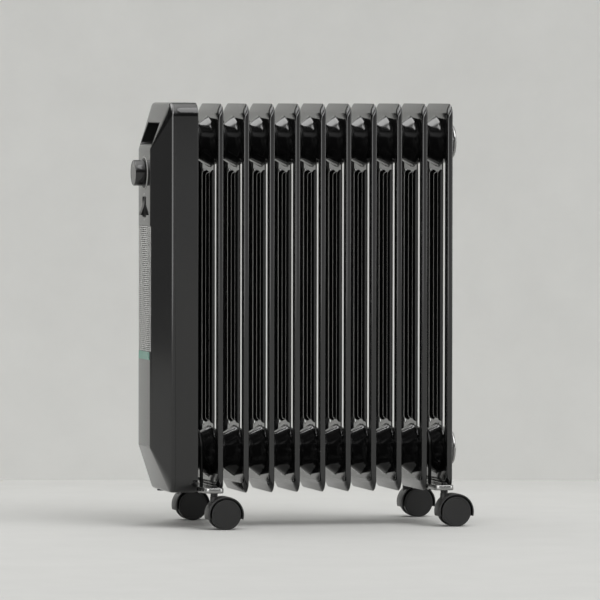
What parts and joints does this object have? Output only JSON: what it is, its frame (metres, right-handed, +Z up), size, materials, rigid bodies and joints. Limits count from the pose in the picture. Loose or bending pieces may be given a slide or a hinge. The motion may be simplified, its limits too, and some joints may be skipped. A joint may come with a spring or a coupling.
{
  "type": "oil filled radiator heater",
  "caption": "Free-standing column heater with a row of hollow steel fins, a control housing with knob and rocker, and swivelling twin-wheel casters.",
  "frame": {"origin": "on the floor, at the centre of the outer size in plan", "axes": "+X along the length from the controls to the rear end, +Y across, +Z up"},
  "size_m": [0.4976, 0.256, 0.6375],
  "materials": {
    "fin_paint": "satin black paint",
    "bright_steel": "bright plated",
    "plain_steel": "plain sheet",
    "shell_plastic": "satin black moulding",
    "deep_black": "matt black moulding",
    "grille_grey": "fine ribs",
    "badge_teal": "plain",
    "caster_plastic": "satin moulding",
    "ivory_plastic": "plain",
    "gasket_fibre": "fibre",
    "wire_red": "insulation"
  },
  "bodies": {
    "heater": {"fin_01": "fin_paint", "fin_02": "fin_paint", "fin_03": "fin_paint", "fin_04": "fin_paint", "fin_05": "fin_paint", "fin_06": "fin_paint", "fin_07": "fin_paint", "fin_08": "fin_paint", "fin_09": "fin_paint", "fin_10": "fin_paint", "fin_11": "fin_paint", "end_cap_top": "bright_steel", "end_cap_bottom": "bright_steel", "filler_plug": "bright_steel", "element_flange": "bright_steel", "housing_screws": "bright_steel", "front_bracket": "bright_steel", "rear_bracket": "bright_steel", "front_u_bolt": "bright_steel", "rear_u_bolt": "bright_steel", "u_bolt_nuts": "bright_steel", "caster_stems": "bright_steel", "stem_nuts": "bright_steel", "heating_element": "plain_steel", "chassis_plate": "plain_steel", "thermostat_body": "plain_steel", "thermal_cutout": "plain_steel", "rear_housing": "shell_plastic", "front_cover": "shell_plastic", "handle_liner": "deep_black", "dial_ring": "deep_black", "switch_frame": "deep_black", "cable_gland": "deep_black", "grille": "grille_grey", "badge": "badge_teal", "element_gasket": "gasket_fibre", "wiring": "wire_red", "terminal_block": "ivory_plastic", "tip_over_switch": "ivory_plastic"},
    "knob": {"control_knob": "shell_plastic", "knob_shaft": "bright_steel"},
    "rocker": {"rocker": "shell_plastic"},
    "caster_front_left": {"hood_front_left": "caster_plastic", "axle_front_left": "bright_steel"},
    "roller_front_left_outer": {"wheel_front_left_outer": "caster_plastic"},
    "roller_front_left_inner": {"wheel_front_left_inner": "caster_plastic"},
    "caster_front_right": {"hood_front_right": "caster_plastic", "axle_front_right": "bright_steel"},
    "roller_front_right_outer": {"wheel_front_right_outer": "caster_plastic"},
    "roller_front_right_inner": {"wheel_front_right_inner": "caster_plastic"},
    "caster_rear_left": {"hood_rear_left": "caster_plastic", "axle_rear_left": "bright_steel"},
    "roller_rear_left_outer": {"wheel_rear_left_outer": "caster_plastic"},
    "roller_rear_left_inner": {"wheel_rear_left_inner": "caster_plastic"},
    "caster_rear_right": {"hood_rear_right": "caster_plastic", "axle_rear_right": "bright_steel"},
    "roller_rear_right_outer": {"wheel_rear_right_outer": "caster_plastic"},
    "roller_rear_right_inner": {"wheel_rear_right_inner": "caster_plastic"}
  },
  "joints": [
    {"name": "knob_turn", "type": "hinge", "parent": "heater", "child": "knob", "pos_m": [-0.23178, 0, 0.5315], "axis": [1, 0, 0], "range_deg": [0, 270]},
    {"name": "rocker_tip", "type": "hinge", "parent": "heater", "child": "rocker", "pos_m": [-0.23058, 0, 0.4805], "axis": [0, -1, 0], "range_deg": [0, 24]},
    {"name": "swivel_front_left", "type": "hinge", "parent": "heater", "child": "caster_front_left", "pos_m": [-0.14933, -0.1125, 0.05], "axis": [0, 0, 1], "continuous": true},
    {"name": "roll_front_left_outer", "type": "hinge", "parent": "caster_front_left", "child": "roller_front_left_outer", "pos_m": [-0.13382, -0.1125, 0.0225], "axis": [0, 1, 0], "continuous": true},
    {"name": "roll_front_left_inner", "type": "hinge", "parent": "caster_front_left", "child": "roller_front_left_inner", "pos_m": [-0.13382, -0.1125, 0.0225], "axis": [0, 1, 0], "continuous": true},
    {"name": "swivel_front_right", "type": "hinge", "parent": "heater", "child": "caster_front_right", "pos_m": [-0.14933, 0.1125, 0.05], "axis": [0, 0, 1], "continuous": true},
    {"name": "roll_front_right_outer", "type": "hinge", "parent": "caster_front_right", "child": "roller_front_right_outer", "pos_m": [-0.13382, 0.1125, 0.0225], "axis": [0, 1, 0], "continuous": true},
    {"name": "roll_front_right_inner", "type": "hinge", "parent": "caster_front_right", "child": "roller_front_right_inner", "pos_m": [-0.13382, 0.1125, 0.0225], "axis": [0, 1, 0], "continuous": true},
    {"name": "swivel_rear_left", "type": "hinge", "parent": "heater", "child": "caster_rear_left", "pos_m": [0.20617, -0.1125, 0.05], "axis": [0, 0, 1], "continuous": true},
    {"name": "roll_rear_left_outer", "type": "hinge", "parent": "caster_rear_left", "child": "roller_rear_left_outer", "pos_m": [0.22168, -0.1125, 0.0225], "axis": [0, 1, 0], "continuous": true},
    {"name": "roll_rear_left_inner", "type": "hinge", "parent": "caster_rear_left", "child": "roller_rear_left_inner", "pos_m": [0.22168, -0.1125, 0.0225], "axis": [0, 1, 0], "continuous": true},
    {"name": "swivel_rear_right", "type": "hinge", "parent": "heater", "child": "caster_rear_right", "pos_m": [0.20617, 0.1125, 0.05], "axis": [0, 0, 1], "continuous": true},
    {"name": "roll_rear_right_outer", "type": "hinge", "parent": "caster_rear_right", "child": "roller_rear_right_outer", "pos_m": [0.22168, 0.1125, 0.0225], "axis": [0, 1, 0], "continuous": true},
    {"name": "roll_rear_right_inner", "type": "hinge", "parent": "caster_rear_right", "child": "roller_rear_right_inner", "pos_m": [0.22168, 0.1125, 0.0225], "axis": [0, 1, 0], "continuous": true}
  ]
}
